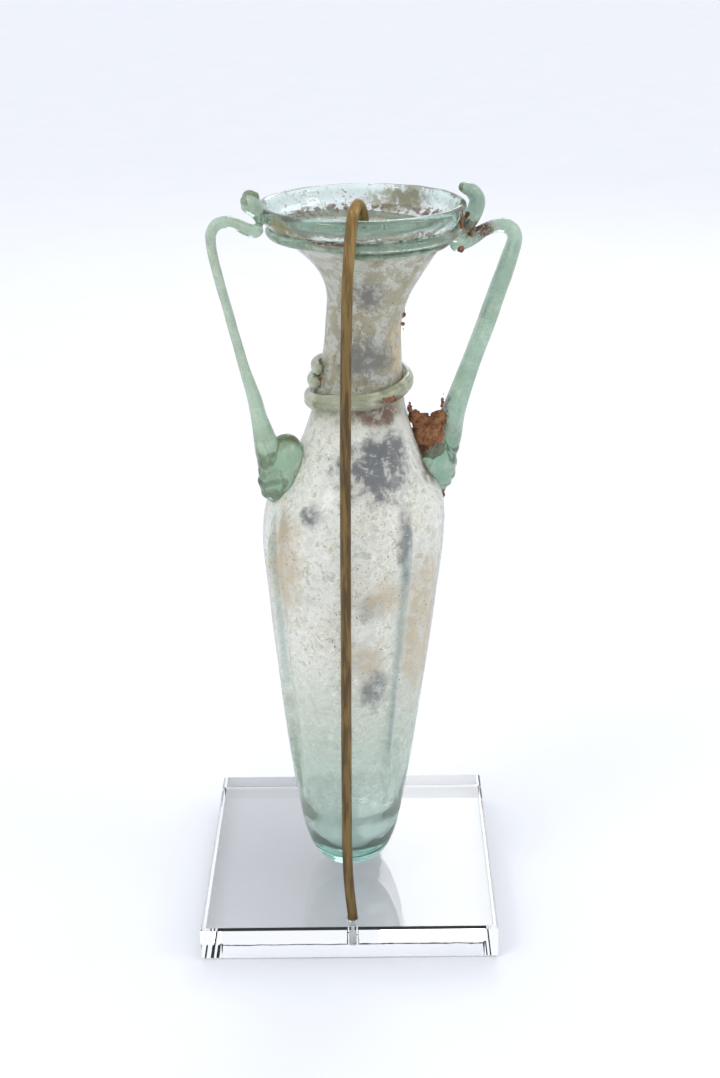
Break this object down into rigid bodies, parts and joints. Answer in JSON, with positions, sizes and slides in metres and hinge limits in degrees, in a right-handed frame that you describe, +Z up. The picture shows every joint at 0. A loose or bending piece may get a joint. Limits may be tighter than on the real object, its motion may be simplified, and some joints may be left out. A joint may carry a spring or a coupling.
{
  "type": "glass perfume flask on a hook stand",
  "caption": "Slender two-handled blown glass perfume flask, held upright on a clear block by a hooked brass rod.",
  "frame": {"origin": "middle of the block's underside", "axes": "+Z up along the flask, -Y the front, where the rod stands"},
  "size_m": [0.086, 0.08, 0.2025],
  "materials": {
    "weathered_glass": "milky weathering over pale aqua glass",
    "green_glass": "smooth green glass with soil in the crevices",
    "burial_earth": "crumbly red-brown earth",
    "clear_acrylic": "polished clear acrylic",
    "aged_brass": "dull brown brass"
  },
  "bodies": {
    "root": {"flask_vessel": "weathered_glass", "mouth_trail": "green_glass", "neck_trail": "green_glass", "left_handle": "green_glass", "right_handle": "green_glass", "earth_lump": "burial_earth", "acrylic_block": "clear_acrylic", "hook_rod": "aged_brass"}
  },
  "joints": []
}
